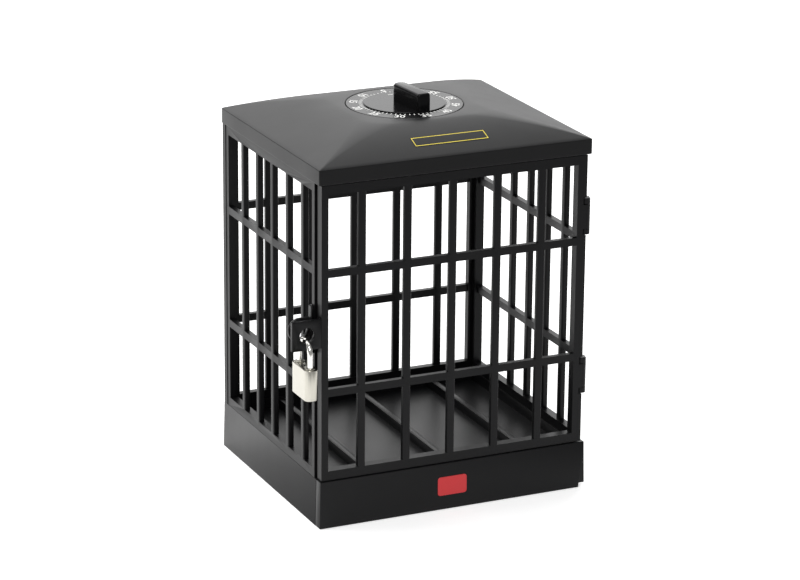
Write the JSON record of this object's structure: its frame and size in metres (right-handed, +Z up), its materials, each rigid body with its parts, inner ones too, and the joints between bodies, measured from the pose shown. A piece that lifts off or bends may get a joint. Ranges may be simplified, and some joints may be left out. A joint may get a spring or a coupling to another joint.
{
  "type": "timed lock container",
  "caption": "Barred cage on a plinth under a hipped roof, with a hinged front grille, hasp and padlock, and a wind-up timer dial and knob in the roof.",
  "frame": {"origin": "centre of the plinth's underside, on the surface it stands on", "axes": "+Z up, -Y out of the door, +X towards the door's hinge side"},
  "size_m": [0.1705, 0.1431, 0.2146],
  "materials": {
    "black_plastic": "satin",
    "steel": "satin",
    "bright_steel": "polished",
    "brass": "satin",
    "nickel_brass": "satin nickel plate"
  },
  "bodies": {
    "cabinet": {"plinth_tray": "black_plastic", "plinth_front": "black_plastic", "base_plate": "black_plastic", "base_screws": "steel", "left_grille": "black_plastic", "right_grille": "black_plastic", "back_grille": "black_plastic", "lock_keeper": "black_plastic", "hinge_pins": "steel", "roof_shell": "black_plastic", "roof_ceiling": "black_plastic", "roof_screws": "steel", "movement_base": "brass", "movement_top": "brass", "movement_pillars": "steel", "mainspring": "steel", "spring_post": "steel", "bell": "steel", "bell_post": "steel"},
    "door": {"door_grille": "black_plastic", "door_hasp": "black_plastic"},
    "timer": {"timer_dial": "black_plastic", "timer_knob": "black_plastic", "timer_spindle": "steel", "spindle_clip": "steel", "main_wheel": "brass"},
    "second_arbor": {"second_pinion": "steel", "second_wheel": "brass"},
    "third_arbor": {"third_pinion": "steel", "third_wheel": "brass"},
    "escape_arbor": {"escape_pinion": "steel", "escape_wheel": "brass"},
    "pallet": {"pallet_lever": "steel"},
    "hammer": {"bell_hammer": "steel"},
    "shackle": {"padlock_shackle": "bright_steel"},
    "lock_case": {"padlock_body": "nickel_brass", "padlock_collars": "nickel_brass"},
    "lock_plug": {"padlock_plug": "brass"}
  },
  "joints": [
    {"name": "door_hinge", "type": "hinge", "parent": "cabinet", "child": "door", "pos_m": [0.0759, -0.0636, 0.108], "axis": [0, 0, 1], "range_deg": [0, 160]},
    {"name": "timer_turn", "type": "hinge", "parent": "cabinet", "child": "timer", "pos_m": [0, 0, 0.2], "axis": [0, 0, -1], "range_deg": [0, 350]},
    {"name": "second_turn", "type": "hinge", "parent": "cabinet", "child": "second_arbor", "pos_m": [-0.0192, 0, 0.194], "axis": [0, 0, 1], "continuous": true},
    {"name": "third_turn", "type": "hinge", "parent": "cabinet", "child": "third_arbor", "pos_m": [-0.0192, 0.0132, 0.194], "axis": [0, 0, -1], "continuous": true},
    {"name": "escape_turn", "type": "hinge", "parent": "cabinet", "child": "escape_arbor", "pos_m": [-0.0068, 0.01772, 0.194], "axis": [0, 0, 1], "continuous": true},
    {"name": "pallet_rock", "type": "hinge", "parent": "cabinet", "child": "pallet", "pos_m": [0.00272, 0.01772, 0.194], "axis": [0, 0, 1], "range_deg": [-5, 5]},
    {"name": "hammer_strike", "type": "hinge", "parent": "cabinet", "child": "hammer", "pos_m": [0.029, 0.017, 0.194], "axis": [0, 0, 1], "range_deg": [-8, 0]},
    {"name": "padlock_swing", "type": "hinge", "parent": "door", "child": "shackle", "pos_m": [-0.0849, -0.0653, 0.1046], "axis": [0, 1, 0], "range_deg": [-6, 75]},
    {"name": "padlock_release", "type": "slide", "parent": "shackle", "child": "lock_case", "axis": [0, 0, -1], "range_m": [0, 0.006]},
    {"name": "plug_turn", "type": "hinge", "parent": "lock_case", "child": "lock_plug", "pos_m": [-0.0849, -0.0653, 0.0777], "axis": [0, 0, 1], "range_deg": [0, 90]}
  ],
  "couplings": [
    {"joint": "second_turn", "follows": "timer_turn", "ratio": 5},
    {"joint": "third_turn", "follows": "timer_turn", "ratio": 22.5},
    {"joint": "escape_turn", "follows": "timer_turn", "ratio": 101.25}
  ]
}
